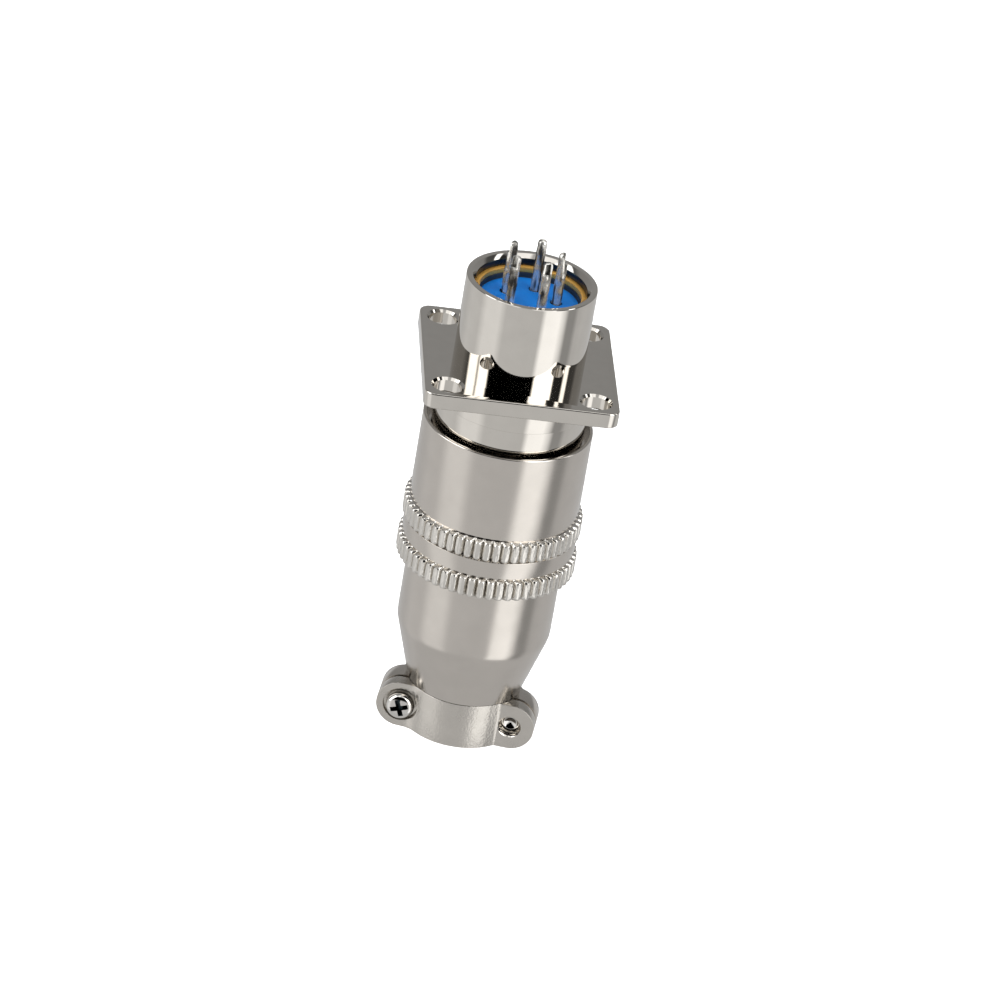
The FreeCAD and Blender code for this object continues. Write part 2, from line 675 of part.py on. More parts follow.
def clamp_screw(name, front):
    """A pan-head screw made along Z with its head upwards, then laid down in its own hole."""
    body = new_body(name)
    turned(body, "screw", [
        ("0", "-screw_l"),
        ("screw_r - screw_thread_clearance", "-screw_l"),
        ("screw_r", "screw_r / 4 - screw_l"),
        ("screw_r", "0"),
        ("screw_head_r", "0"),
        ("screw_head_r", "screw_head_t - screw_head_dome"),
        ("screw_head_r - screw_head_dome / 2", "screw_head_t - screw_head_dome / 4"),
        ("screw_head_r - screw_head_dome", "screw_head_t"),
        ("0", "screw_head_t"),
    ])
    near, far = "cross_w / 2", "cross_l / 2"
    arms = [(near, near), (far, near), (far, f"-{near}"), (near, f"-{near}"), (near, f"-{far}"),
            (f"-{near}", f"-{far}"), (f"-{near}", f"-{near}"), (f"-{far}", f"-{near}"), (f"-{far}", near),
            (f"-{near}", near), (f"-{near}", far), (near, far)]
    recess = feature(body, "Pocket", "cross_recess",
                     outline(body, "cross_outline", "XY_Plane", arms, "screw_head_t"))
    bind(recess, Length="cross_t")
    tilt = FreeCAD.Rotation(FreeCAD.Vector(1, 0, 0), 90 if front else -90)
    seat = sheet.ear_recess_t - sheet.ear_face_y if front else -sheet.ear_back_y - sheet.ear_recess_t
    turn = FreeCAD.Rotation(FreeCAD.Vector(0, 0, 1), -sheet.clamp_turn)
    across = -sheet.ear_x if front else sheet.ear_x
    at = turn.multVec(FreeCAD.Vector(across, seat, sheet.ear_r - sheet.clamp_base_depth))
    body.Placement = FreeCAD.Placement(at, turn.multiply(tilt))
    return body


def main():
    rear_ring_bottom = "rear_insert_face + rear_insert_rim_h"
    plug_ring_top = f"-{PLUG_INSERT_REAR_DEPTH}"
    sleeve_ring_top = f"-{SLEEVE_RING_DEPTH}"
    parts = [
        receptacle_shell(),
        receptacle_insert(),
        snap_ring("receptacle_snap_ring", "rear_ring_inner_r", "rear_ring_r",
                  rear_ring_bottom, f"{rear_ring_bottom} + rear_ring_t"),
        plug_body(),
        plug_insert(),
        snap_ring("plug_snap_ring", "plug_ring_inner_r", "plug_ring_r",
                  f"{plug_ring_top} - plug_ring_t", plug_ring_top),
        coupling_sleeve(),
        snap_ring("sleeve_snap_ring", "sleeve_ring_inner_r", "sleeve_ring_r",
                  f"{sleeve_ring_top} - sleeve_ring_t", sleeve_ring_top),
        backshell(),
        clamp_saddle(),
        clamp_screw("clamp_screw_front", True),
        clamp_screw("clamp_screw_back", False),
    ]
    for number in range(SIZES["contact_count"]):
        parts.append(receptacle_pin(number))
        parts.append(plug_socket(number))
    doc.recompute()

    for item in doc.Objects:
        if any(state in ("Invalid", "Error") for state in item.State):
            raise RuntimeError(f"{item.Label} did not build: {item.State}")
    os.makedirs("parts", exist_ok=True)
    for part in parts:
        shape = part.Shape
        if shape.isNull() or not shape.isValid() or len(shape.Solids) != 1:
            raise RuntimeError(f"{part.Label} is not one valid solid")
        shape.exportStep(f"parts/{part.Label}.step")
        print(f"{part.Label:24s}{shape.Volume:10.2f} mm3")


main()
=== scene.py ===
import math
import bpy
from mathutils import Matrix, Vector


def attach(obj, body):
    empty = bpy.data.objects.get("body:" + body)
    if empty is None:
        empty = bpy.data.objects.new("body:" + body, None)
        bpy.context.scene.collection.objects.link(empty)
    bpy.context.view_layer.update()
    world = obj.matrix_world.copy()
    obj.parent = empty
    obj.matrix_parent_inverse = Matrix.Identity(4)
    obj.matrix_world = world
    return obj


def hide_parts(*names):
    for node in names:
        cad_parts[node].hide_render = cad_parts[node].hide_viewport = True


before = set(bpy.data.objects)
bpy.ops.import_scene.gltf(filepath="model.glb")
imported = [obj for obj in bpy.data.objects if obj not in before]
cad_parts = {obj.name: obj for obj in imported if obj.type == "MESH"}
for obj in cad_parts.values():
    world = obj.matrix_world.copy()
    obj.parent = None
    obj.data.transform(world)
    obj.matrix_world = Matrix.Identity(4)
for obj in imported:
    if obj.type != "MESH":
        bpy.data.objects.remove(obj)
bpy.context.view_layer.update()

# Receptacle shell: rear barrel, square flange, hub and threaded boss, turned and milled from one
# brass bar, then polished and nickel plated. The flange's corners take the panel screws.

MM = 0.001
BARREL_R, BARREL_TOP, BARREL_BORE_R, LIP = 6.0, 8.07, 5.05, 0.42
FLANGE_SIDE, FLANGE_T, FLANGE_CORNER_R = 17.72, 1.5, 1.1
HOLE_R, HOLE_SPACING, HOLE_CHAMFER = 1.3, 13.45, 0.22
HUB_R, HUB_Z, BOSS_R, BOSS_Z = 7.15, -3.9, 7.05, -6.9
THREAD_CORE_R, SHELL_FRONT_Z = 6.35, -12.5
FRONT_BORE_R, WEB_R, WEB_FRONT_Z, WEB_REAR_Z = 5.15, 4.4, -7.2, -6.0
INSERT_FACE_Z, RIM_H = 6.0, 0.5
RING_T, RING_R, RING_INNER_R, RING_CLEARANCE = 0.5, 5.35, 4.65, 0.05
SPARE = 0.5  # how far a cutter reaches past the metal
LINE_RUN = 50 / 3  # length over which a lathe line keeps its depth


def deselect():
    """Leaves nothing selected."""
    for item in bpy.context.selected_objects:
        item.select_set(False)


def pick(piece):
    """Makes a piece the only one selected, and the active one."""
    deselect()
    bpy.context.view_layer.objects.active = piece
    piece.select_set(True)


def select_edges(obj, axis):
    """In edit mode afterwards, with only the edges selected that run along X, Y or Z (0, 1, 2)."""
    bpy.ops.object.mode_set(mode="EDIT")
    bpy.ops.mesh.select_mode(type="EDGE")
    bpy.ops.mesh.select_all(action="DESELECT")
    bpy.ops.object.mode_set(mode="OBJECT")
    for edge in obj.data.edges:
        start, end = (obj.data.vertices[i].co for i in edge.vertices)
        edge.select = abs(start[axis] - end[axis]) > 0.5 * MM
    bpy.ops.object.mode_set(mode="EDIT")


def sealed(piece):
    """Merges doubles, closes open ends and turns the faces outwards."""
    bpy.ops.object.mode_set(mode="EDIT")
    bpy.ops.mesh.select_mode(type="VERT")
    bpy.ops.mesh.select_all(action="SELECT")
    bpy.ops.mesh.remove_doubles(threshold=1e-7)
    bpy.ops.mesh.fill_holes(sides=0)
    bpy.ops.mesh.normals_make_consistent(inside=False)
    bpy.ops.object.mode_set(mode="OBJECT")
    return piece


def rounded(profile):
    """Radius and height of each corner, a corner with a third number eased by that much."""
    places = []
    for index, corner in enumerate(profile):
        here = Vector(corner[:2])
        if len(corner) < 3:
            places.append(here)
            continue
        before = Vector(profile[index - 1][:2]) - here
        after = Vector(profile[(index + 1) % len(profile)][:2]) - here
        first = here + before.normalized() * corner[2]
        last = here + after.normalized() * corner[2]
        for t in (0.0, 1 / 3, 2 / 3, 1.0):
            places.append(first * (1 - t) ** 2 + here * 2 * t * (1 - t) + last * t ** 2)
    return places


def turned(name, profile, sides=180, closed=True):
    """A lathe-turned piece: one ring extruded from place to place along the profile (mm)."""
    places = rounded(profile)
    deselect()
    radius, height = places[0]
    bpy.ops.mesh.primitive_circle_add(vertices=sides, radius=radius * MM,
                                      location=(0, 0, height * MM))
    piece = bpy.context.object
    piece.name = piece.data.name = name
    bpy.ops.object.transform_apply(location=True, rotation=True, scale=True)
    bpy.ops.object.mode_set(mode="EDIT")
    bpy.ops.mesh.select_all(action="SELECT")
    following = places[1:] + (places[:1] if closed else [])
    for new_radius, new_height in following:
        rise = (0, 0, (new_height - height) * MM)
        bpy.ops.mesh.extrude_region_move(TRANSFORM_OT_translate={"value": rise})
        if new_radius == 0:
            bpy.ops.mesh.merge(type="CENTER")
        else:
            grow = new_radius / radius
            bpy.ops.transform.resize(value=(grow, grow, 1),
                                     center_override=(0, 0, new_height * MM))
        radius, height = new_radius, new_height
    return sealed(piece)


def modified(piece, kind, **settings):
    """A modifier put on and applied."""
    pick(piece)
    modifier = piece.modifiers.new(kind, kind)
    for key, value in settings.items():
        setattr(modifier, key, value)
    bpy.ops.object.modifier_apply(modifier=modifier.name)
    return piece


def eased(piece, width, segments, angle=60):
    """Rounds the edges that turn by more than the angle (width in mm)."""
    return modified(piece, "BEVEL", width=width * MM, segments=segments, limit_method="ANGLE",
                    angle_limit=math.radians(angle))


def carved(piece, operation, *tools):
    """The piece with other shapes cut away from it, joined to it or kept inside it."""
    for tool in tools:
        modified(piece, "BOOLEAN", operation=operation, object=tool, solver="EXACT")
        bpy.data.objects.remove(tool)
    return piece


def smooth(piece, angle=30):
    """Shades a piece smooth, except over edges that turn by more than the angle."""
    pick(piece)
    bpy.ops.object.shade_smooth_by_angle(angle=math.radians(angle))
    return piece


def block(name, low, high):
    """A straight-sided block between two corners (mm)."""
    deselect()
    centre = [(a + b) / 2 * MM for a, b in zip(low, high)]
    size = [(b - a) * MM for a, b in zip(low, high)]
    bpy.ops.mesh.primitive_cube_add(size=1, location=centre)
    piece = bpy.context.object
    piece.name = piece.data.name = name
    piece.scale = size
    bpy.ops.object.transform_apply(location=True, rotation=True, scale=True)
    return piece


def placed(piece, matrix):
    """Puts a piece made at the origin in its place, in its mesh."""
    pick(piece)
    piece.matrix_world = matrix
    bpy.ops.object.transform_apply(location=True, rotation=True, scale=True)
    return piece


def copied(piece, name):
    """A copy of a piece, with its own mesh."""
    pick(piece)
    bpy.ops.object.duplicate()
    made = bpy.context.object
    made.name = made.data.name = name
    return made


def linear(hex_colour, alpha=1.0):
    """An sRGB hex colour as the linear values that a socket takes."""
    channels = [int(hex_colour[i:i + 2], 16) / 255 for i in (1, 3, 5)]
    curve = [c / 12.92 if c <= 0.04045 else ((c + 0.055) / 1.055) ** 2.4 for c in channels]
    return (*curve, alpha)


def add_node(material, kind, links=None, **settings):
    """Adds a shader node, sets its sockets or properties by name and links its inputs."""
    made = material.node_tree.nodes.new(kind)
    for key, value in settings.items():
        label = key.replace("_", " ")
        socket = next((s for s in made.inputs if s.name.lower() == label.lower()), None)
        if socket is not None and not hasattr(made, key):
            socket.default_value = value
        else:
            setattr(made, key, value)
    for label, source in (links or {}).items():
        material.node_tree.links.new(source, made.inputs[label])
    return made


def clouded(name, first, second, cloud, detail=3.0):
    """A material between two colours in clouds of a size in mm, with its shader and the clouds."""
    material = bpy.data.materials.new(name)
    material.use_nodes = True
    surface = material.node_tree.nodes["Principled BSDF"]
    place = add_node(material, "ShaderNodeTexCoord")
    clouds = add_node(material, "ShaderNodeTexNoise", {"Vector": place.outputs["Object"]},
                      scale=1 / (cloud * MM), detail=detail)
    colour = add_node(material, "ShaderNodeMix", {"Factor": clouds.outputs["Fac"]},
                      data_type="RGBA")
    colour.inputs["A"].default_value = first
    colour.inputs["B"].default_value = second
    material.node_tree.links.new(colour.outputs["Result"], surface.inputs["Base Color"])
    return material, surface, clouds


def relief(material, grain, strength, depth, detail=2.0):
    """Bumps of a length along each axis and a depth, in mm. Returns the noise they follow."""
    place = add_node(material, "ShaderNodeTexCoord")
    stretch = add_node(material, "ShaderNodeMapping", {"Vector": place.outputs["Object"]})
    stretch.inputs["Scale"].default_value = [1 / (length * MM) for length in grain]
    noise = add_node(material, "ShaderNodeTexNoise", {"Vector": stretch.outputs["Vector"]},
                     scale=1.0, detail=detail)
    bump = add_node(material, "ShaderNodeBump", {"Height": noise.outputs["Fac"]},
                    strength=strength, distance=depth * MM)
    surface = material.node_tree.nodes["Principled BSDF"]
    material.node_tree.links.new(bump.outputs["Normal"], surface.inputs["Normal"])
    return noise


def nickel_plate(name, tint, gloss, mottle, lines=0.0, pitch=0.05):
    """A plated metal, its roughness a little uneven, with lathe lines of a pitch (mm) or none."""
    full = linear(tint)
    dimmed = [0.9 * channel for channel in full[:3]] + [1]
    material, surface, clouds = clouded(name, full, dimmed, mottle)
    surface.inputs["Metallic"].default_value = 1.0
    rough = add_node(material, "ShaderNodeMapRange", {"Value": clouds.outputs["Fac"]},
                     from_min=0.3, from_max=0.7, to_min=gloss * 0.8, to_max=gloss * 1.25)
    material.node_tree.links.new(rough.outputs["Result"], surface.inputs["Roughness"])
    if lines:
        relief(material, (LINE_RUN, LINE_RUN, pitch), lines, 0.02)
    return material


def faced(piece, material, chosen):
    """Gives another material to the faces whose middle (in mm) and normal pass the test."""
    piece.data.materials.append(material)
    for face in piece.data.polygons:
        if chosen(face.center / MM, face.normal):
            face.material_index = len(piece.data.materials) - 1


def dressed(piece, material, body, slot, *nodes):
    """Gives a finished piece its material, the body it rides on and the nodes it stands for."""
    piece.data.materials.clear()
    piece.data.materials.append(material)
    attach(piece, body)
    if nodes:
        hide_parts(*nodes)
    return piece


# Bright nickel over polished brass: a near mirror with the faintest haze, warm grey.
POLISHED_NICKEL = nickel_plate("polished_nickel_plate", "#D4CFC7", 0.045, 1.5)

rim_z = INSERT_FACE_Z + RIM_H
shell = turned("receptacle_shell_plated", [
    (THREAD_CORE_R, SHELL_FRONT_Z, 0.3),
    (THREAD_CORE_R, BOSS_Z),
    (BOSS_R, BOSS_Z, 0.25),
    (BOSS_R, HUB_Z),
    (HUB_R, HUB_Z, 0.06),
    (HUB_R, -FLANGE_T / 2),
    (BARREL_R, -FLANGE_T / 2),
    (BARREL_R, BARREL_TOP, 0.12),
    (BARREL_BORE_R + LIP, BARREL_TOP, 0.06),
    (BARREL_BORE_R, BARREL_TOP - LIP, 0.06),
    (BARREL_BORE_R, rim_z + RING_T + RING_CLEARANCE),
    (RING_R + RING_CLEARANCE, rim_z + RING_T + RING_CLEARANCE),
    (RING_R + RING_CLEARANCE, rim_z - RING_CLEARANCE),
    (BARREL_BORE_R, rim_z - RING_CLEARANCE),
    (BARREL_BORE_R, WEB_REAR_Z),
    (WEB_R, WEB_REAR_Z),
    (WEB_R, WEB_FRONT_Z),
    (FRONT_BORE_R, WEB_FRONT_Z),
    (FRONT_BORE_R, SHELL_FRONT_Z, 0.15),
])
half = FLANGE_SIDE / 2
plate = block("flange_plate", (-half, -half, -FLANGE_T), (half, half, 0))
select_edges(plate, 2)
bpy.ops.mesh.bevel(offset=FLANGE_CORNER_R * MM, segments=16, affect="EDGES")
bpy.ops.object.mode_set(mode="OBJECT")
eased(plate, 0.14, 3)
drill = turned("drill", [
    (HOLE_R + HOLE_CHAMFER + SPARE, -FLANGE_T - SPARE),
    (HOLE_R, -FLANGE_T + HOLE_CHAMFER),
    (HOLE_R, -HOLE_CHAMFER),
    (HOLE_R + HOLE_CHAMFER + SPARE, SPARE),
    (0, SPARE),
], sides=64, closed=False)
for corner in ((-1, -1, 0), (-1, 1, 0), (1, -1, 0), (1, 1, 0)):
    hole = Matrix.Translation(Vector(corner) * HOLE_SPACING / 2 * MM)
    carved(plate, "DIFFERENCE", placed(copied(drill, "drill_copy"), hole))
bpy.data.objects.remove(drill)
carved(shell, "UNION", plate)
smooth(shell)
dressed(shell, POLISHED_NICKEL, "receptacle", "polished_nickel", "receptacle_shell")

# Painted shade: the bore's wall is coloured a dark metal, its green cast a painted reflection of
# the blue insert.
SHADE_PAINTED_PLATING = nickel_plate("painted_shade_plating", "#3A4448", 0.3, 1.2, lines=0.2)


def in_rear_bore(middle, normal):
    """Whether a face lies on the bore's wall between the snap ring and the lip."""
    return (rim_z + RING_T < middle.z < BARREL_TOP - LIP + 0.05
            and middle.xy.length < BARREL_BORE_R + 0.03)


faced(shell, SHADE_PAINTED_PLATING, in_rear_bore)


# Male half of the coupling thread, cut on the receptacle's boss: right-handed, one millimetre
# pitch, five turns. It is wound as one ridge of triangular section with a worn flat crest.

THREAD_PITCH, RIDGE_FOOT, RIDGE_CREST, RIDGE_SUNK = 1.0, 0.8, 0.12, 0.03
MALE_CREST_R, MALE_TURNS, MALE_START = 6.86, 5, 0.55


def upright(name, inner_r, outer_r, bottom_z, top_z):
    """A rectangle standing in the plane of X and Z, as the section of a ring or a ridge."""
    deselect()
    middle = ((inner_r + outer_r) / 2 * MM, 0, (bottom_z + top_z) / 2 * MM)
    bpy.ops.mesh.primitive_plane_add(size=1, rotation=(math.pi / 2, 0, 0), location=middle)
    section = bpy.context.object
    section.name = section.data.name = name
    section.scale = (abs(outer_r - inner_r) * MM, (top_z - bottom_z) * MM, 1)
    bpy.ops.object.transform_apply(location=True, rotation=True, scale=True)
    return section


def select_vertices(obj, chosen):
    """In edit mode afterwards, with only the vertices selected that pass the test (in mm)."""
    bpy.ops.object.mode_set(mode="EDIT")
    bpy.ops.mesh.select_mode(type="VERT")
    bpy.ops.mesh.select_all(action="DESELECT")
    bpy.ops.object.mode_set(mode="OBJECT")
    for vertex in obj.data.vertices:
        vertex.select = chosen(vertex.co / MM)
    bpy.ops.object.mode_set(mode="EDIT")


def wound(name, foot_r, crest_r, middle_z, turns):
    """A ridge from the foot radius to the crest radius, wound upwards from the given height."""
    ridge = upright(name, foot_r, crest_r, middle_z - RIDGE_FOOT / 2, middle_z + RIDGE_FOOT / 2)
    select_vertices(ridge, lambda v: abs(v.x - crest_r) < 0.01)
    bpy.ops.transform.resize(value=(1, 1, RIDGE_CREST / RIDGE_FOOT))
    bpy.ops.mesh.select_all(action="SELECT")
    bpy.ops.mesh.delete(type="ONLY_FACE")
    bpy.ops.object.mode_set(mode="OBJECT")
    modified(ridge, "SCREW", angle=2 * math.pi, screw_offset=THREAD_PITCH * MM, iterations=turns,
             steps=72, render_steps=72, use_merge_vertices=False)
    return smooth(sealed(ridge))


# Cut thread under the same plating: bright flanks with fine tool lines along the helix.
THREAD_NICKEL = nickel_plate("thread_nickel_plate", "#CFC9C1", 0.12, 0.8, lines=0.25)

male_thread = wound("receptacle_thread", THREAD_CORE_R - RIDGE_SUNK, MALE_CREST_R,
                    SHELL_FRONT_Z + MALE_START, MALE_TURNS)
dressed(male_thread, THREAD_NICKEL, "receptacle", "polished_nickel")


# Rear insulating insert: a blue moulding round the five contacts, dished inside a low rim that
# carries the snap ring. Each contact stands in a small clearance pocket that looks black.

INSERT_R, INSERT_RIM_R, POCKET_R, POCKET_DEPTH = 5.0, 4.6, 0.58, 0.5
INSERT_CLEARANCE, INSERT_STAND = 0.05, 0.1
CONTACT_CIRCLE_R, CONTACT_COUNT, CONTACT_TURN = 2.48, 5, 3.0

# Glass-filled thermoset, moulded: a saturated blue with a slight gloss and faint flow marks.
BLUE_MOULDING, blue, flow = clouded("blue_thermoset_moulding", linear("#004B92"),
                                    linear("#0465AC"), 1.1, detail=4.0)
blue.inputs["IOR"].default_value = 1.55
blue.inputs["Specular IOR Level"].default_value = 0.2
blue_gloss = add_node(BLUE_MOULDING, "ShaderNodeMapRange", {"Value": flow.outputs["Fac"]},
                      to_min=0.38, to_max=0.6)
BLUE_MOULDING.node_tree.links.new(blue_gloss.outputs["Result"], blue.inputs["Roughness"])
relief(BLUE_MOULDING, (0.12, 0.12, 0.12), 0.3, 0.02)

insert = turned("receptacle_insert_moulding", [
    (WEB_R - INSERT_CLEARANCE, WEB_FRONT_Z - INSERT_STAND),
    (WEB_R - INSERT_CLEARANCE, WEB_REAR_Z),
    (INSERT_R, WEB_REAR_Z),
    (INSERT_R, rim_z, 0.08),
    (INSERT_RIM_R, rim_z, 0.08),
    (INSERT_RIM_R, INSERT_FACE_Z, 0.05),
    (0, INSERT_FACE_Z),
], sides=128, closed=False)
pocket = turned("pocket", [
    (POCKET_R, INSERT_FACE_Z - POCKET_DEPTH),
    (POCKET_R, INSERT_FACE_Z + SPARE),
    (0, INSERT_FACE_Z + SPARE),
], sides=32, closed=False)
contact_angles = [math.radians(CONTACT_TURN + number * 360 / CONTACT_COUNT)
                  for number in range(CONTACT_COUNT)]
for angle in contact_angles:
    spot = Vector((math.cos(angle), math.sin(angle), 0)) * CONTACT_CIRCLE_R * MM
    carved(insert, "DIFFERENCE", placed(copied(pocket, "pocket_copy"), Matrix.Translation(spot)))
bpy.data.objects.remove(pocket)
smooth(insert)
dressed(insert, BLUE_MOULDING, "receptacle", "blue_insulator", "receptacle_insert")

# The dish's rim is painted matt and almost black: a painted shadow under the snap ring.
PAINTED_SHADOW_FINISH, shadow_surface, _ = clouded("painted_shadow_under_ring", linear("#0B1118"), linear("#1B2A3A"), 0.5)
shadow_surface.inputs["Roughness"].default_value = 0.5


def on_dish_rim(middle, normal):
    """Whether a face of the insert lies on the rim round the dish."""
    return middle.z > INSERT_FACE_Z - 0.01 and middle.xy.length > INSERT_RIM_R - 0.06


faced(insert, PAINTED_SHADOW_FINISH, on_dish_rim)


# Snap ring over the rear insert: flat brass wire with eased edges, open for a tenth of its round
# on the side of the front clamp screw, sprung into its groove in the barrel.

RING_GAP = 36.0

# Bright brass wire: a warm yellow metal, drawn, with faint lines and a little tarnish.
BRASS = nickel_plate("drawn_brass_wire", "#EDB65C", 0.4, 0.7, lines=0.3, pitch=0.04)
BRASS.node_tree.nodes["Principled BSDF"].inputs["Metallic"].default_value = 0.75

rear_ring = upright("receptacle_snap_ring_wire", RING_INNER_R, RING_R, rim_z, rim_z + RING_T)
bpy.ops.object.mode_set(mode="EDIT")
bpy.ops.mesh.select_all(action="SELECT")
bpy.ops.mesh.spin(steps=120, angle=math.radians(360 - RING_GAP), center=(0, 0, 0), axis=(0, 0, 1))
sealed(rear_ring)
placed(rear_ring, Matrix.Rotation(math.radians(-90 - RING_GAP / 2), 4, "Z"))
eased(rear_ring, 0.06, 2, angle=50)
smooth(rear_ring)
dressed(rear_ring, BRASS, "receptacle", "brass_ring", "receptacle_snap_ring")


# Receptacle contacts: turned brass pins, each with a solder cup scooped open at its rear end.
# They are hot-tinned, so that their tails are lumpy and bright and the cups' rims are rounded.

PIN_TIP_Z, PIN_R, PIN_NOSE = -11.0, 0.5, 0.3
PIN_SHOULDER_R, PIN_SHOULDER_REAR_Z = 0.65, -5.3
TAIL_R, TAIL_STEP, TAIL_STEPS, TIP_ROUND = 0.4, 0.22, 24, 0.36
CUP_TOP, CUP_BORE_R, CUP_BORE_DEPTH, CUP_WINDOW = 11.15, 0.27, 2.3, 1.5
TINNING, TIN_LEVEL, TIN_CAP, TIN_LUMP = 0.16, 0.2, 0.2, 0.7

# Hot-dipped tin over brass: bright, with long soft ripples where it ran down the tail, and dark
# grey painted into the hollows between them as painted shade.
TIN = nickel_plate("hot_dipped_tin", "#5C5A56", 0.2, 0.9)
TIN.node_tree.nodes["Principled BSDF"].inputs["Metallic"].default_value = 0.8
ripple = relief(TIN, (0.4, 0.4, 2.4), 0.5, 0.08, detail=0.5)
crest = add_node(TIN, "ShaderNodeMapRange", {"Value": ripple.outputs["Fac"]},
                 from_min=0.4, from_max=0.54)
tin_tone = TIN.node_tree.nodes["Mix"]
tin_tone.inputs["B"].default_value = linear("#E8E5DE")
TIN.node_tree.links.new(crest.outputs["Result"], tin_tone.inputs["Factor"])

tinning = bpy.data.textures.new("tinning", "CLOUDS")
tinning.noise_scale = TIN_LUMP * MM
tail_foot = INSERT_FACE_Z - POCKET_DEPTH
tail_top = CUP_TOP - (1 - TIN_LEVEL) * TINNING
pin = turned("pin", [
    (PIN_R - PIN_NOSE, PIN_TIP_Z),
    (PIN_R, PIN_TIP_Z + PIN_NOSE),
    (PIN_R, WEB_FRONT_Z),
    (PIN_SHOULDER_R, WEB_FRONT_Z),
    (PIN_SHOULDER_R, PIN_SHOULDER_REAR_Z),
    (TAIL_R, PIN_SHOULDER_REAR_Z),
    *((TAIL_R, tail_foot + TAIL_STEP * step) for step in range(TAIL_STEPS)),
    (TAIL_R, tail_top, TIP_ROUND),
    (0, tail_top),
], sides=40, closed=False)
scoop = block("scoop", (TAIL_R / 4, -1, CUP_TOP - CUP_WINDOW), (3 * TAIL_R, 1, CUP_TOP + 1))
select_vertices(scoop, lambda v: v.x < TAIL_R and v.z < CUP_TOP)
bpy.ops.transform.translate(value=(0, 0, CUP_WINDOW / 4 * MM))
bpy.ops.object.mode_set(mode="OBJECT")
bore = turned("bore", [
    (CUP_BORE_R, CUP_TOP - TIN_CAP),
    (CUP_BORE_R, CUP_TOP - CUP_BORE_DEPTH),
    (0, CUP_TOP - CUP_BORE_DEPTH - CUP_BORE_R),
], sides=24, closed=False)

for number, angle in enumerate(contact_angles, 1):
    seat = Matrix.Rotation(angle, 4, "Z") @ Matrix.Translation((CONTACT_CIRCLE_R * MM, 0, 0))
    contact = placed(copied(pin, f"receptacle_pin_{number}_tinned"), seat)
    select_vertices(contact, lambda v: v.z > tail_foot)
    bpy.ops.object.vertex_group_assign_new()
    bpy.ops.object.mode_set(mode="OBJECT")
    modified(contact, "DISPLACE", texture=tinning, texture_coords="LOCAL", strength=TINNING * MM,
             mid_level=TIN_LEVEL, vertex_group=contact.vertex_groups[0].name)
    carved(contact, "DIFFERENCE", placed(copied(scoop, "scoop_copy"), seat),
           placed(copied(bore, "bore_copy"), seat))
    smooth(contact, 50)
    dressed(contact, TIN, "receptacle", "plated_contact", f"receptacle_pin_{number}")
for pattern in (pin, scoop, bore):
    bpy.data.objects.remove(pattern)


# Plug body, its blue insert, sockets and snap rings: turned, moulded and sprung pieces inside
# the sleeve and backshell. They keep their plain forms, and are finished like those round them.

# Plain spring steel, cold grey and slightly oiled.
SPRING_STEEL = nickel_plate("oiled_spring_steel", "#9C9DA0", 0.28, 0.9, lines=0.3)

for node, material in (("plug_body", POLISHED_NICKEL), ("plug_insert", BLUE_MOULDING),
                       ("plug_snap_ring", SPRING_STEEL), ("sleeve_snap_ring", SPRING_STEEL),
                       *((f"plug_socket_{number + 1}", TIN) for number in range(CONTACT_COUNT))):
    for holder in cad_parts[node].material_slots:
        holder.material = material


# Coupling sleeve: turned brass, plated satin, with a plain band between two fluted grips that
# are milled straight along the axis. It runs on the plug's collar and screws over the boss.

SLEEVE_R, SLEEVE_MOUTH_Z, MOUTH_BORE_R, MOUTH_BORE_END_Z = 7.85, -6.26, 7.5, -7.3
THREAD_BORE_R, THREAD_END_Z, COLLAR_BORE_R = 6.98, -12.4, 7.1
SHOULDER_TOP_Z, SHOULDER_BOTTOM_Z, SHOULDER_BORE_R, SKIRT_BORE_R = -14.2, -15.6, 5.73, 7.5
UPPER_GRIP, LOWER_GRIP, BAND_R = (-14.83, -16.85), (-18.72, -20.78), 8.05
UPPER_NECK_R, LOWER_NECK_R, NECK_START, NECK_END = 7.74, 7.84, 0.2, 0.08
RIBS, ROOT_R, UPPER_CROWN_R, LOWER_CROWN_R = 58, 7.84, 8.3, 8.35

# Each rib is ten columns of vertices across and eleven rows along. A row's distance from the
# rib's end is in mm, and a column rises by these shares of the rib's height, row by row.
RIB_COLUMNS, RIB_ROWS = 10, (0.0, 0.05, 0.14, 0.28, 0.5)
RIB_RISE = {1: (0, 0.1, 0.3, 0.55, 0.72, 0.75), 2: (0, 0.3, 0.66, 0.86, 0.94, 0.94),
            3: (0, 0.5, 0.85, 0.95, 0.98, 0.98), 4: (0, 0.62, 0.92, 1, 1, 1),
            5: (0, 0.66, 0.94, 1, 1, 1)}


def grip_rows(grip):
    """Heights of the rows of vertices along one fluted band, closer at its ends."""
    top, bottom = grip
    return [*(top - row for row in RIB_ROWS), (top + bottom) / 2,
            *(bottom + row for row in reversed(RIB_ROWS))]


def raise_ribs(piece, grip, crown_r):
    """Scales columns of vertices out to rounded crowns whose ends are arched."""
    rows = grip_rows(grip)
    pitch = 2 * math.pi / RIBS
    for away, rises in RIB_RISE.items():
        for rank, rise in enumerate(rises):
            if rise == 0:
                continue
            levels = {rows[rank], rows[-1 - rank]}

            def on_column(v):
                if v.xy.length < ROOT_R - 0.01 or min(abs(v.z - z) for z in levels) > 0.005:
                    return False
                column = round(math.atan2(v.y, v.x) / pitch % 1.0 * RIB_COLUMNS) % RIB_COLUMNS
                return min(column, RIB_COLUMNS - column) == away

            select_vertices(piece, on_column)
            grow = (ROOT_R + (crown_r - ROOT_R) * rise) / ROOT_R
            bpy.ops.transform.resize(value=(grow, grow, 1), center_override=(0, 0, 0))
            bpy.ops.object.mode_set(mode="OBJECT")


# Satin nickel over turned brass: warm grey, softly mirror-like, with fine lathe lines round it.
SATIN_NICKEL = nickel_plate("satin_nickel_plate_turned", "#CBC5BD", 0.17, 2.0, lines=0.18,
                            pitch=0.06)

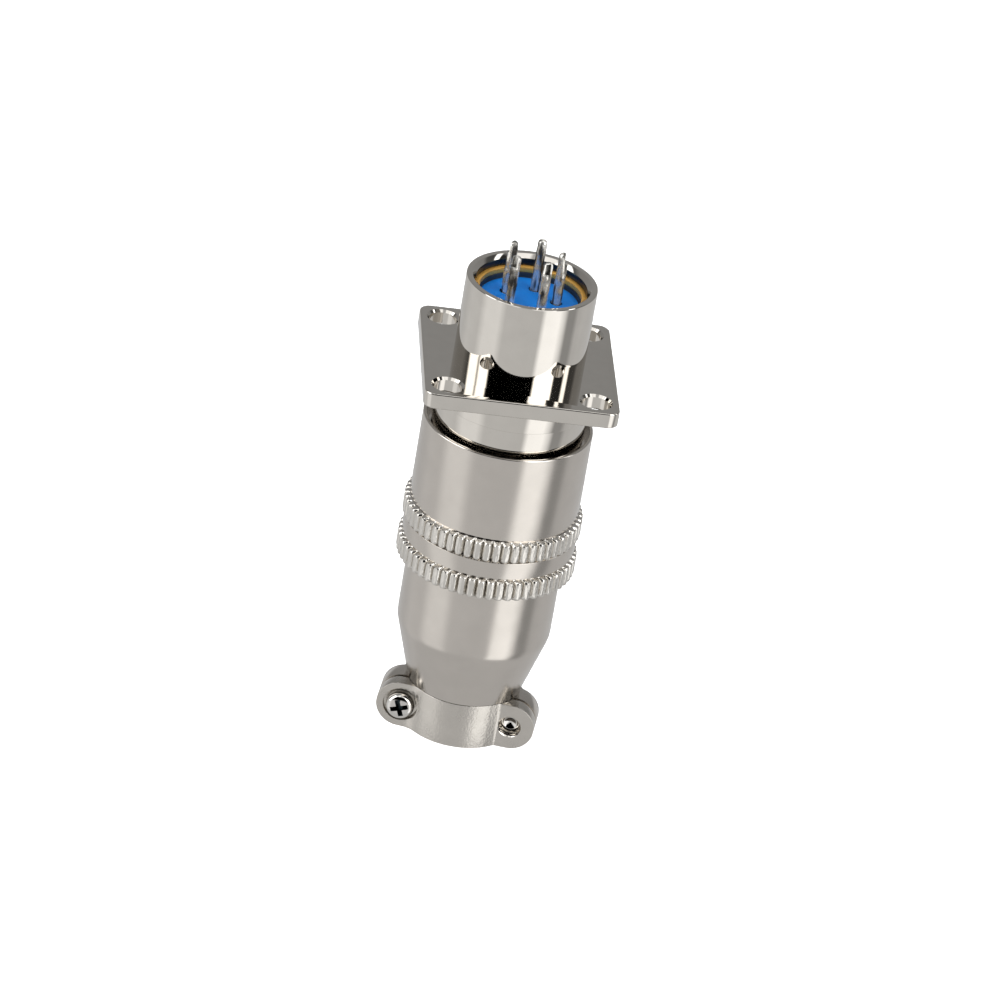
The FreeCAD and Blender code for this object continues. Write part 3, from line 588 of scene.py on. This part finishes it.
sleeve = turned("coupling_sleeve_turned", [
    (MOUTH_BORE_R, SLEEVE_MOUTH_Z, 0.1),
    (SLEEVE_R, SLEEVE_MOUTH_Z, 0.14),
    (SLEEVE_R, UPPER_GRIP[0] + NECK_START, 0.02),
    (UPPER_NECK_R, UPPER_GRIP[0] + NECK_END),
    *((ROOT_R, z) for z in grip_rows(UPPER_GRIP)),
    (BAND_R, UPPER_GRIP[1] - 0.06, 0.03),
    (BAND_R, LOWER_GRIP[0] + NECK_START, 0.02),
    (LOWER_NECK_R, LOWER_GRIP[0] + NECK_END),
    *((ROOT_R, z) for z in grip_rows(LOWER_GRIP)),
    (SKIRT_BORE_R + 0.15, LOWER_GRIP[1]),
    (SKIRT_BORE_R, LOWER_GRIP[1] + 0.15),
    (SKIRT_BORE_R, SHOULDER_BOTTOM_Z),
    (SHOULDER_BORE_R, SHOULDER_BOTTOM_Z),
    (SHOULDER_BORE_R, SHOULDER_TOP_Z),
    (COLLAR_BORE_R, SHOULDER_TOP_Z),
    (COLLAR_BORE_R, THREAD_END_Z),
    (THREAD_BORE_R, THREAD_END_Z),
    (THREAD_BORE_R, MOUTH_BORE_END_Z),
    (MOUTH_BORE_R, MOUTH_BORE_END_Z),
], sides=RIBS * RIB_COLUMNS)
raise_ribs(sleeve, UPPER_GRIP, UPPER_CROWN_R)
raise_ribs(sleeve, LOWER_GRIP, LOWER_CROWN_R)
smooth(sleeve, 35)
dressed(sleeve, SATIN_NICKEL, "sleeve", "satin_nickel", "coupling_sleeve")

# Milled flutes under the same plating: brighter than the turned bands, streaked along the axis.
MILLED_NICKEL = nickel_plate("nickel_plate_milled", "#D8D4CD", 0.13, 0.6)
relief(MILLED_NICKEL, (0.16, 0.16, 1.1), 0.8, 0.07)


def on_grip(middle, normal):
    """Whether a face of the sleeve lies on one of its fluted bands."""
    return (middle.xy.length > ROOT_R - 0.02
            and any(bottom < middle.z < top for top, bottom in (UPPER_GRIP, LOWER_GRIP)))


faced(sleeve, MILLED_NICKEL, on_grip)


# Female half of the coupling thread, cut inside the sleeve at the same pitch. It is in step with
# the male ridge and half a pitch from it, so that their flanks pass between each other.

FEMALE_CREST_R, FEMALE_TURNS, FEMALE_START = 6.46, 4, 0.95

female_thread = wound("sleeve_thread", THREAD_BORE_R + RIDGE_SUNK, FEMALE_CREST_R,
                      THREAD_END_Z + FEMALE_START, FEMALE_TURNS)
dressed(female_thread, THREAD_NICKEL, "sleeve", "satin_nickel")


# Backshell: a turned tube and cone over the solder joints, made in one with the fixed half of
# the cable clamp: a channel behind the cable with an ear on each side for a screw.

TUBE_R, TUBE_FRONT_Z, CONE_Z, CLAMP_TOP_Z, CLAMP_BASE_Z = 7.2, -17.4, -27.6, -33.7, -38.3
CLAMP_R, CABLE_R, REAR_BORE_R = 5.4, 3.2, 5.38
EAR_R, EAR_X, EAR_FACE_Y, EAR_BACK_Y, EAR_FOOT = 2.3, 5.2, -3.6, 0.0, 0.25
EAR_Z, SPLIT_Y, SPLIT_GAP = CLAMP_BASE_Z + EAR_R, -2.15, 0.3
RECESS_R, RECESS_DEPTH, SPOT_FACE_R, CLEAR_R = 1.65, 0.5, 1.5, 1.1
TAP_R, TAP_MOUTH_R, TAP_DEPTH, TAP_STEP, TAP_STEPS = 0.98, 1.1, 0.1, 0.15, 9
CLAMP_TURN = Matrix.Rotation(math.radians(-11), 4, "Z")


def traced(name, outline, bottom_z, top_z):
    """A plate of the outline in X and Y: a point drawn along it, filled and pulled upwards."""
    places = rounded(outline)
    deselect()
    bpy.ops.mesh.primitive_plane_add(
        size=MM, location=(places[0].x * MM, places[0].y * MM, bottom_z * MM))
    piece = bpy.context.object
    piece.name = piece.data.name = name
    bpy.ops.object.transform_apply(location=True, rotation=True, scale=True)
    bpy.ops.object.mode_set(mode="EDIT")
    bpy.ops.mesh.select_mode(type="VERT")
    bpy.ops.mesh.select_all(action="SELECT")
    bpy.ops.mesh.merge(type="CENTER")
    for here, there in zip(places, places[1:]):
        step = ((there.x - here.x) * MM, (there.y - here.y) * MM, 0)
        bpy.ops.mesh.extrude_region_move(TRANSFORM_OT_translate={"value": step})
    bpy.ops.mesh.select_all(action="SELECT")
    bpy.ops.mesh.edge_face_add()
    pull = (0, 0, (top_z - bottom_z) * MM)
    bpy.ops.mesh.extrude_region_move(TRANSFORM_OT_translate={"value": pull})
    bpy.ops.mesh.select_all(action="SELECT")
    bpy.ops.mesh.normals_make_consistent(inside=False)
    bpy.ops.object.mode_set(mode="OBJECT")
    return piece


def rounded_ends(low_y, high_y):
    """A block as long as the clamp with half-round ends, to keep a clamp half inside."""
    reach = EAR_X + EAR_R
    made = block("ends", (-reach, low_y, CLAMP_BASE_Z), (reach, high_y, CLAMP_TOP_Z))
    select_edges(made, 1)
    bpy.ops.mesh.bevel(offset=(EAR_R - 0.004) * MM, segments=24, affect="EDGES")
    bpy.ops.object.mode_set(mode="OBJECT")
    return made


def bar(x, *places):
    """A round cutter lying along Y at the height of the ears, of the given radii at given Y."""
    low_y = places[0][1]
    profile = [(radius, y - low_y) for radius, y in places]
    made = turned("bar", [*profile, (0, profile[-1][1])], sides=48, closed=False)
    lay = Matrix.Rotation(-math.pi / 2, 4, "X")
    return placed(made, Matrix.Translation((x * MM, low_y * MM, EAR_Z * MM)) @ lay)


tube = turned("backshell_turned", [
    (REAR_BORE_R, TUBE_FRONT_Z),
    (TUBE_R, TUBE_FRONT_Z, 0.25),
    (TUBE_R, CONE_Z, 0.5),
    (CLAMP_R, CLAMP_TOP_Z),
    (CABLE_R, CLAMP_TOP_Z),
    (REAR_BORE_R, CONE_Z),
])
fixed_half = traced("fixed_half", [
    (-EAR_X - EAR_R, SPLIT_Y + SPLIT_GAP / 2),
    (EAR_X + EAR_R, SPLIT_Y + SPLIT_GAP / 2),
    (EAR_X + EAR_R, EAR_BACK_Y),
    (CLAMP_R + EAR_FOOT, EAR_BACK_Y),
    *((CLAMP_R * math.cos(math.radians(degree)), CLAMP_R * math.sin(math.radians(degree)))
      for degree in range(4, 177, 3)),
    (-CLAMP_R - EAR_FOOT, EAR_BACK_Y),
    (-EAR_X - EAR_R, EAR_BACK_Y),
], CLAMP_BASE_Z, CLAMP_TOP_Z)
carved(fixed_half, "INTERSECT", rounded_ends(-3, 7))
eased(fixed_half, 0.1, 2)
cable = turned("cable", [
    (CABLE_R, CLAMP_BASE_Z - 1),
    (CABLE_R, CLAMP_TOP_Z + 1),
    (0, CLAMP_TOP_Z + 1),
], sides=96, closed=False)
spot_y = EAR_BACK_Y - RECESS_DEPTH
carved(fixed_half, "DIFFERENCE", copied(cable, "cable_copy"), bar(-EAR_X, (TAP_R, -3), (TAP_R, 2)),
       bar(EAR_X, (CLEAR_R, -3), (CLEAR_R, spot_y), (SPOT_FACE_R, spot_y), (SPOT_FACE_R, 6)))
deselect()
fixed_half.select_set(True)
tube.select_set(True)
bpy.context.view_layer.objects.active = tube
bpy.ops.object.join()
placed(tube, CLAMP_TURN)
smooth(tube)
dressed(tube, SATIN_NICKEL, "plug", "satin_nickel", "backshell")


# Clamp saddle: the loose front half of the cable clamp, cast, with a band that bulges round the
# cable between two flat ears: one recessed for a screw's head, the other tapped.

BULGE_X, BULGE_STEPS, SADDLE_DROP, LEFT_EASE, RIGHT_EASE = 3.3, 24, 0.05, 0.85, 0.2

# Satin nickel over a casting: the same warm grey, but with a fine sandy skin.
CAST_NICKEL = nickel_plate("satin_nickel_plate_cast", "#C8C3BB", 0.22, 1.2)
relief(CAST_NICKEL, (0.2, 0.2, 0.2), 0.6, 0.05, detail=4.0)

start = math.acos(BULGE_X / CLAMP_R)
bulge = [-math.pi + start + step / BULGE_STEPS * (math.pi - 2 * start)
         for step in range(BULGE_STEPS + 1)]
corner_x = math.sqrt(CLAMP_R ** 2 - EAR_FACE_Y ** 2)
saddle = traced("clamp_saddle_cast", [
    (EAR_X + EAR_R, SPLIT_Y - SPLIT_GAP / 2),
    (-EAR_X - EAR_R, SPLIT_Y - SPLIT_GAP / 2),
    (-EAR_X - EAR_R, EAR_FACE_Y),
    (-corner_x, EAR_FACE_Y, LEFT_EASE),
    *((CLAMP_R * math.cos(a), CLAMP_R * math.sin(a)) for a in bulge),
    (corner_x, EAR_FACE_Y, RIGHT_EASE),
    (EAR_X + EAR_R, EAR_FACE_Y),
], CLAMP_BASE_Z, CLAMP_TOP_Z - SADDLE_DROP)
carved(saddle, "INTERSECT", rounded_ends(-7, 0))
recess_y = EAR_FACE_Y + RECESS_DEPTH
tapped = [(TAP_R + TAP_DEPTH * (step % 2), EAR_FACE_Y + TAP_MOUTH_R - TAP_R + TAP_STEP * step)
          for step in range(TAP_STEPS)]
carved(saddle, "DIFFERENCE", cable,
       bar(-EAR_X, (RECESS_R, -6), (RECESS_R, recess_y), (CLEAR_R, recess_y), (CLEAR_R, 0)),
       bar(EAR_X, (TAP_MOUTH_R + SPARE, EAR_FACE_Y - SPARE), *tapped, (TAP_R, 0)))
eased(saddle, 0.13, 3)
placed(saddle, CLAMP_TURN)
smooth(saddle)
dressed(saddle, CAST_NICKEL, "plug", "satin_nickel", "clamp_saddle")


def in_tapped_hole(middle, normal):
    """Whether a face of the turned clamp lies round the axis of the tapped hole."""
    level, facing = CLAMP_TURN.inverted() @ middle, CLAMP_TURN.inverted() @ normal
    return (abs(facing.y) < 0.9
            and math.hypot(level.x - EAR_X, level.z - EAR_Z) < TAP_MOUTH_R + 0.02)


faced(saddle, POLISHED_NICKEL, in_tapped_hole)


# Clamp screws: pan heads with a cross recess, cold-headed steel with rolled threads and bright
# nickel plate. One enters from the front through the saddle, the other from behind.

SCREW_L, SCREW_R, SCREW_CORE_R, SCREW_PITCH, SCREW_FLIGHTS = 2.4, 0.95, 0.78, 0.35, 12
HEAD_R, HEAD_T, CROSS_W, CROSS_L, CROSS_DEPTH = 1.35, 1.3, 0.56, 2.3, 0.8
CROSS_TURN, CROSS_TAPER = 0.35, (0.55, 0.7, 1)

# Bright nickel on cold-headed steel: near-mirror, with small dull patches from handling.
SCREW_NICKEL = nickel_plate("bright_nickel_on_steel", "#D8D5D0", 0.06, 0.4)

screw = turned("clamp_screw", [
    (SCREW_CORE_R - 0.65, -SCREW_L + 0.35),
    (SCREW_CORE_R - 0.15, -SCREW_L, 0.05),
    *((SCREW_R if step % 2 else SCREW_CORE_R, -SCREW_L + 0.2 + step * SCREW_PITCH / 2)
      for step in range(SCREW_FLIGHTS)),
    (SCREW_R, 0),
    (HEAD_R, 0, 0.1),
    (HEAD_R, HEAD_T * 0.62, 0.2),
    (HEAD_R * 0.82, HEAD_T * 0.9, 0.15),
    (HEAD_R * 0.5, HEAD_T),
    (0, HEAD_T),
], sides=64, closed=False)
arm = block("arm", (-CROSS_L / 2, -CROSS_W / 2, HEAD_T - CROSS_DEPTH),
            (CROSS_L / 2, CROSS_W / 2, HEAD_T + 1))
select_vertices(arm, lambda v: v.z < HEAD_T)
bpy.ops.transform.resize(value=CROSS_TAPER, center_override=(0, 0, 0))
bpy.ops.object.mode_set(mode="OBJECT")
for turn in (CROSS_TURN, CROSS_TURN + math.pi / 2):
    carved(screw, "DIFFERENCE", placed(copied(arm, "arm_copy"), Matrix.Rotation(turn, 4, "Z")))
smooth(screw, 40)


def in_cross(middle, normal):
    """Whether a face of the upright screw is a wall or the floor of the recess in its head."""
    return (0.4 < middle.z < HEAD_T - 0.05 and middle.xy.length < CROSS_L / 2
            and (abs(normal.z) < 0.5 or middle.z < HEAD_T - CROSS_DEPTH + 0.1))


for name, x, seat_y, tilt in (("clamp_screw_front", -EAR_X, recess_y, math.pi / 2),
                              ("clamp_screw_back", EAR_X, spot_y, -math.pi / 2)):
    fastener = copied(screw, f"{name}_headed")
    dressed(fastener, SCREW_NICKEL, "plug", "screw_nickel", name)
    # The cross recess takes the dark plating: painted shade inside the head.
    faced(fastener, SHADE_PAINTED_PLATING, in_cross)
    placed(fastener, CLAMP_TURN @ Matrix.Translation((x * MM, seat_y * MM, EAR_Z * MM))
           @ Matrix.Rotation(tilt, 4, "X"))
for pattern in (screw, arm):
    bpy.data.objects.remove(pattern)


# Studio: a plain pale table far below, so that the plug can be drawn out above it, and soft
# light. What the bright metal mirrors is a grey room with upright light panels on each side of
# the camera.

TABLE_DROP = 60
CAMERA_TILT, CAMERA_ROLL, CAMERA_TURN = (math.radians(angle) for angle in (28.06, 9.83, -7.1))
CAMERA_LENS, CAMERA_DISTANCE, CAMERA_SHIFT_X, CAMERA_SHIFT_Y = 203.0, 512.1, -1.72, -12.817
ROOM_TINT = (0.985, 0.99, 1.0, 1)
FLOOR_EDGE, HORIZON, CEILING_EDGE = (-0.74, -0.68), (-0.05, 0.05), (0.76, 0.84)

# Matt painted board, near white, with a faint unevenness.
TABLE, board, _ = clouded("pale_matt_board", linear("#FBFBFB"), linear("#FDFDFC"), 3, detail=2.0)
board.inputs["Roughness"].default_value = 0.9

bpy.context.scene.view_settings.view_transform = "Standard"
deselect()
bpy.ops.mesh.primitive_plane_add(size=4, location=(0, 0, (CLAMP_BASE_Z - TABLE_DROP) * MM))
table = bpy.context.object
table.name = "pale_table"
table.visible_glossy = False
table.data.materials.append(TABLE)

room = bpy.data.worlds.new("studio_room")
bpy.context.scene.world = room
room.use_nodes = True
facing = add_node(room, "ShaderNodeTexCoord")
aligned = add_node(room, "ShaderNodeMapping", {"Vector": facing.outputs["Generated"]})
aligned.inputs["Rotation"].default_value = (0, 0, -CAMERA_TURN)
split = add_node(room, "ShaderNodeSeparateXYZ", {"Vector": aligned.outputs["Vector"]})
behind = add_node(room, "ShaderNodeMath", operation="MULTIPLY")
behind.inputs[1].default_value = -1
room.node_tree.links.new(split.outputs["Y"], behind.inputs[0])
azimuth = add_node(room, "ShaderNodeMath", operation="ARCTAN2")
room.node_tree.links.new(split.outputs["X"], azimuth.inputs[0])
room.node_tree.links.new(behind.outputs["Value"], azimuth.inputs[1])


def steps(value, stops):
    """Brightness that follows a value through straight runs between its stops."""
    low, high = stops[0][0], stops[-1][0]
    scaled = add_node(room, "ShaderNodeMapRange", {"Value": value}, from_min=low, from_max=high)
    ramp = add_node(room, "ShaderNodeValToRGB", {"Fac": scaled.outputs["Result"]})
    elements = ramp.color_ramp.elements
    while len(elements) < len(stops):
        elements.new(0.5)
    for element, (at, level) in zip(elements, stops):
        element.position = (at - low) / (high - low)
        element.color = (level, level, level, 1)
    return ramp.outputs["Color"]


def around(stops):
    """Brightness round the room, by degrees to the right of the camera."""
    return steps(azimuth.outputs["Value"], [(math.radians(at), level) for at, level in stops])


below = around([(-180, 0.6), (-130, 0.64), (-112, 0.76), (-86, 0.74), (-72, 1.02), (-46, 1.04),
                (-34, 0.73), (26, 0.7), (34, 1.5), (58, 1.55), (68, 1.0), (75, 0.38), (88, 0.38),
                (97, 0.62), (110, 0.66), (180, 0.6)])
above = around([(-180, 0.34), (-112, 0.3), (-96, 0.1), (-92, 3.2), (-76, 3.2), (-72, 0.5),
                (-68, 3.4), (-52, 3.4), (-49, 0.0), (30, 0.0), (33, 3.6), (66, 3.6), (69, 0.04),
                (88, 0.03), (91, 3.0), (98, 3.0), (101, 0.08), (116, 0.1), (124, 0.3),
                (180, 0.34)])
under = around([(-180, 0.62), (0, 0.66), (180, 0.62)])
ceiling = around([(-180, 0.35), (-75, 0.35), (-60, 1.4), (-25, 1.5), (-15, 0.6), (10, 0.6),
                  (20, 1.5), (60, 1.4), (75, 0.35), (180, 0.35)])


def blended(edge, first, second):
    """One brightness below an edge in the room's height, another above it, eased between."""
    share = steps(split.outputs["Z"], [(edge[0], 0.0), (edge[1], 1.0)])
    mixed = add_node(room, "ShaderNodeMix", {"Factor": share}, data_type="RGBA")
    room.node_tree.links.new(first, mixed.inputs["A"])
    room.node_tree.links.new(second, mixed.inputs["B"])
    return mixed.outputs["Result"]


whole = blended(HORIZON, blended(FLOOR_EDGE, under, below), blended(CEILING_EDGE, above, ceiling))
tinted = add_node(room, "ShaderNodeMix", data_type="RGBA", blend_type="MULTIPLY", factor=1.0)
tinted.inputs["B"].default_value = ROOM_TINT
room.node_tree.links.new(whole, tinted.inputs["A"])
sky = room.node_tree.nodes["Background"]
room.node_tree.links.new(tinted.outputs["Result"], sky.inputs["Color"])

for name, spot, size, power in (("key_softbox", (-0.35, -0.45, 0.6), 0.5, 3.5),
                                ("fill_softbox", (0.45, -0.3, 0.55), 0.5, 3.0),
                                ("top_softbox", (0.0, 0.2, 0.7), 0.7, 4.0)):
    bpy.ops.object.light_add(type="AREA", location=spot)
    lamp = bpy.context.object
    lamp.name = name
    lamp.data.size = size
    lamp.data.energy = power
    lamp.rotation_euler = Vector(spot).to_track_quat("Z", "Y").to_euler()
    lamp.visible_glossy = False

level_right = Vector((1, 0, 0))
level_up = Vector((0, math.sin(CAMERA_TILT), math.cos(CAMERA_TILT)))
view = Vector((0, math.cos(CAMERA_TILT), -math.sin(CAMERA_TILT)))
right = math.cos(CAMERA_ROLL) * level_right + math.sin(CAMERA_ROLL) * level_up
up = math.cos(CAMERA_ROLL) * level_up - math.sin(CAMERA_ROLL) * level_right
stand = (right * CAMERA_SHIFT_X + up * CAMERA_SHIFT_Y - view * CAMERA_DISTANCE) * MM
bpy.ops.object.camera_add()
camera = bpy.context.object
camera.name = "photograph_camera"
camera.data.lens = CAMERA_LENS
camera.data.sensor_width = 36.0
camera.data.clip_start = 0.01
camera.matrix_world = Matrix.Rotation(CAMERA_TURN, 4, "Z") @ Matrix((
    (right.x, up.x, -view.x, stand.x), (right.y, up.y, -view.y, stand.y),
    (right.z, up.z, -view.z, stand.z), (0, 0, 0, 1)))
bpy.context.scene.camera = camera
